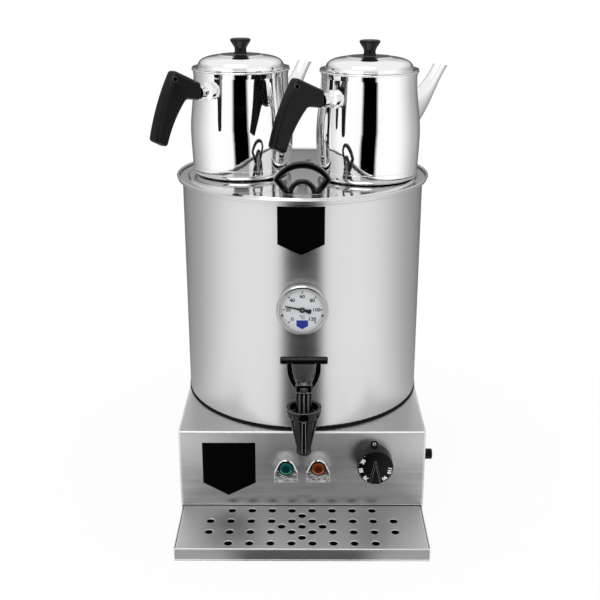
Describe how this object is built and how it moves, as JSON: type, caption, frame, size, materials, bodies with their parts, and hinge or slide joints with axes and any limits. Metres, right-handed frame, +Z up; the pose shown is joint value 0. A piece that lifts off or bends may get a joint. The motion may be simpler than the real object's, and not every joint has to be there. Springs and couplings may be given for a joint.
{
  "type": "hot water urn",
  "caption": "Electric tea boiler: round steel drum on a folded base, lever tap over a drip tray, dial thermometer, thermostat knob, pilot lamps, and teapots on the lid.",
  "frame": {"origin": "on the counter top, straight below the middle of the drum", "axes": "+Z up, -Y out of the front over the drip tray, +X to the right seen from the front"},
  "size_m": [0.3565, 0.4236, 0.5663],
  "materials": {
    "drum_steel": "ground round the drum",
    "base_steel": "fine satin grain",
    "tray_steel": "fine satin grain",
    "lid_steel": "polished plateau with a satin brim",
    "pot_steel": "mirror polish",
    "lamp_chrome": "bright plating",
    "gauge_steel": "polished",
    "plated_steel": "zinc plated",
    "heater_tube": "annealed tube",
    "tap_plastic": "moulded, semi-gloss",
    "grip_plastic": "moulded, satin",
    "lid_handle_plastic": "moulded, semi-gloss",
    "knob_plastic": "moulded, satin",
    "lamp_collar_plastic": "moulded",
    "lens_green": "clear tinted",
    "lens_orange": "clear tinted",
    "phenolic": "moulded, dull",
    "ceramic": "glazed terminal block",
    "copper_tube": "drawn tube",
    "gland_plastic": "moulded",
    "rubber_black": "dull",
    "silicone": "translucent white",
    "dial_white": "matt white",
    "pointer_black": "matt",
    "gauge_glass": "flat clear pane"
  },
  "bodies": {
    "housing": {"base_housing": "base_steel", "base_back_panel": "base_steel", "base_bottom_plate": "plated_steel", "base_feet": "rubber_black", "base_screws": "plated_steel", "tray_runners": "plated_steel", "drum_gasket": "rubber_black", "boiler_tank": "drum_steel", "floor_studs": "plated_steel", "stud_nuts": "plated_steel", "heater_gasket": "silicone", "heater_flange": "plated_steel", "heater_element": "heater_tube", "tap_body": "tap_plastic", "tap_washer": "rubber_black", "tap_shank_nut": "tap_plastic", "tap_bonnet": "tap_plastic", "gauge_case": "gauge_steel", "gauge_bezel": "gauge_steel", "gauge_glass": "gauge_glass", "gauge_dial": "dial_white", "gauge_nut": "plated_steel", "lamp_bezels": "lamp_chrome", "lamp_collars": "lamp_collar_plastic", "lamp_lens_green": "lens_green", "lamp_lens_orange": "lens_orange", "lamp_bodies": "phenolic", "thermostat_body": "phenolic", "thermostat_bulb": "copper_tube", "limit_thermostat": "phenolic", "limit_nut": "plated_steel", "cable_gland": "gland_plastic", "cable_gland_nut": "gland_plastic", "terminal_block": "ceramic"},
    "tap_stem": {"tap_stem": "plated_steel", "tap_seat_cup": "silicone", "tap_pin": "plated_steel"},
    "tap_lever": {"tap_lever": "tap_plastic"},
    "knob": {"thermostat_knob": "knob_plastic", "thermostat_spindle": "plated_steel"},
    "pointer": {"gauge_pointer": "pointer_black"},
    "boiler_lid": {"boiler_lid": "lid_steel", "lid_handle": "lid_handle_plastic", "lid_handle_bracket": "plated_steel"},
    "drip_tray": {"drip_pan": "tray_steel"},
    "tray_cover": {"drip_cover": "tray_steel"},
    "reset_cap": {"reset_cap": "knob_plastic"},
    "reset_button": {"reset_button": "knob_plastic"},
    "teapot_left": {"teapot_left_body": "pot_steel", "teapot_left_spout": "pot_steel", "teapot_left_ferrule": "pot_steel", "teapot_left_handle": "grip_plastic"},
    "teapot_left_lid": {"teapot_left_lid": "pot_steel", "teapot_left_knob": "grip_plastic"},
    "teapot_right": {"teapot_right_body": "pot_steel", "teapot_right_spout": "pot_steel", "teapot_right_ferrule": "pot_steel", "teapot_right_handle": "grip_plastic"},
    "teapot_right_lid": {"teapot_right_lid": "pot_steel", "teapot_right_knob": "grip_plastic"}
  },
  "joints": [
    {"name": "lid_lift", "type": "slide", "parent": "housing", "child": "boiler_lid", "axis": [0, 0, 1], "range_m": [0, 0.06]},
    {"name": "teapot_left_lift", "type": "slide", "parent": "boiler_lid", "child": "teapot_left", "axis": [0, 0, 1], "range_m": [0, 0.05]},
    {"name": "teapot_right_lift", "type": "slide", "parent": "boiler_lid", "child": "teapot_right", "axis": [0, 0, 1], "range_m": [0, 0.05]},
    {"name": "teapot_left_lid_lift", "type": "slide", "parent": "teapot_left", "child": "teapot_left_lid", "axis": [0, 0, 1], "range_m": [0, 0.04]},
    {"name": "teapot_right_lid_lift", "type": "slide", "parent": "teapot_right", "child": "teapot_right_lid", "axis": [0, 0, 1], "range_m": [0, 0.04]},
    {"name": "tap_lever_tilt", "type": "hinge", "parent": "tap_stem", "child": "tap_lever", "pos_m": [0.002, -0.19, 0.1934], "axis": [1, 0, 0], "range_deg": [0, 42]},
    {"name": "tap_stem_lift", "type": "slide", "parent": "housing", "child": "tap_stem", "axis": [0, 0, 1], "range_m": [0, 0.0038], "stiffness_N_per_m": 1500},
    {"name": "knob_turn", "type": "hinge", "parent": "housing", "child": "knob", "pos_m": [0.0882, -0.16, 0.0787], "axis": [0, 1, 0], "range_deg": [0, 270]},
    {"name": "pointer_turn", "type": "hinge", "parent": "housing", "child": "pointer", "pos_m": [0, -0.158, 0.2757], "axis": [0, 1, 0], "range_deg": [-57.8, 212.2], "stiffness_Nm_per_rad": 0.002},
    {"name": "tray_slide", "type": "slide", "parent": "housing", "child": "drip_tray", "axis": [0, -1, 0], "range_m": [0, 0.15]},
    {"name": "cover_lift", "type": "slide", "parent": "drip_tray", "child": "tray_cover", "axis": [0, 0, 1], "range_m": [0, 0.025]},
    {"name": "reset_push", "type": "slide", "parent": "housing", "child": "reset_button", "axis": [-1, 0, 0], "range_m": [0, 0.0015], "stiffness_N_per_m": 800},
    {"name": "reset_cap_off", "type": "slide", "parent": "housing", "child": "reset_cap", "axis": [1, 0, 0], "range_m": [0, 0.02]}
  ],
  "couplings": [
    {"joint": "tap_lever_tilt", "follows": "tap_stem_lift", "rad_per_m": 183.7}
  ]
}
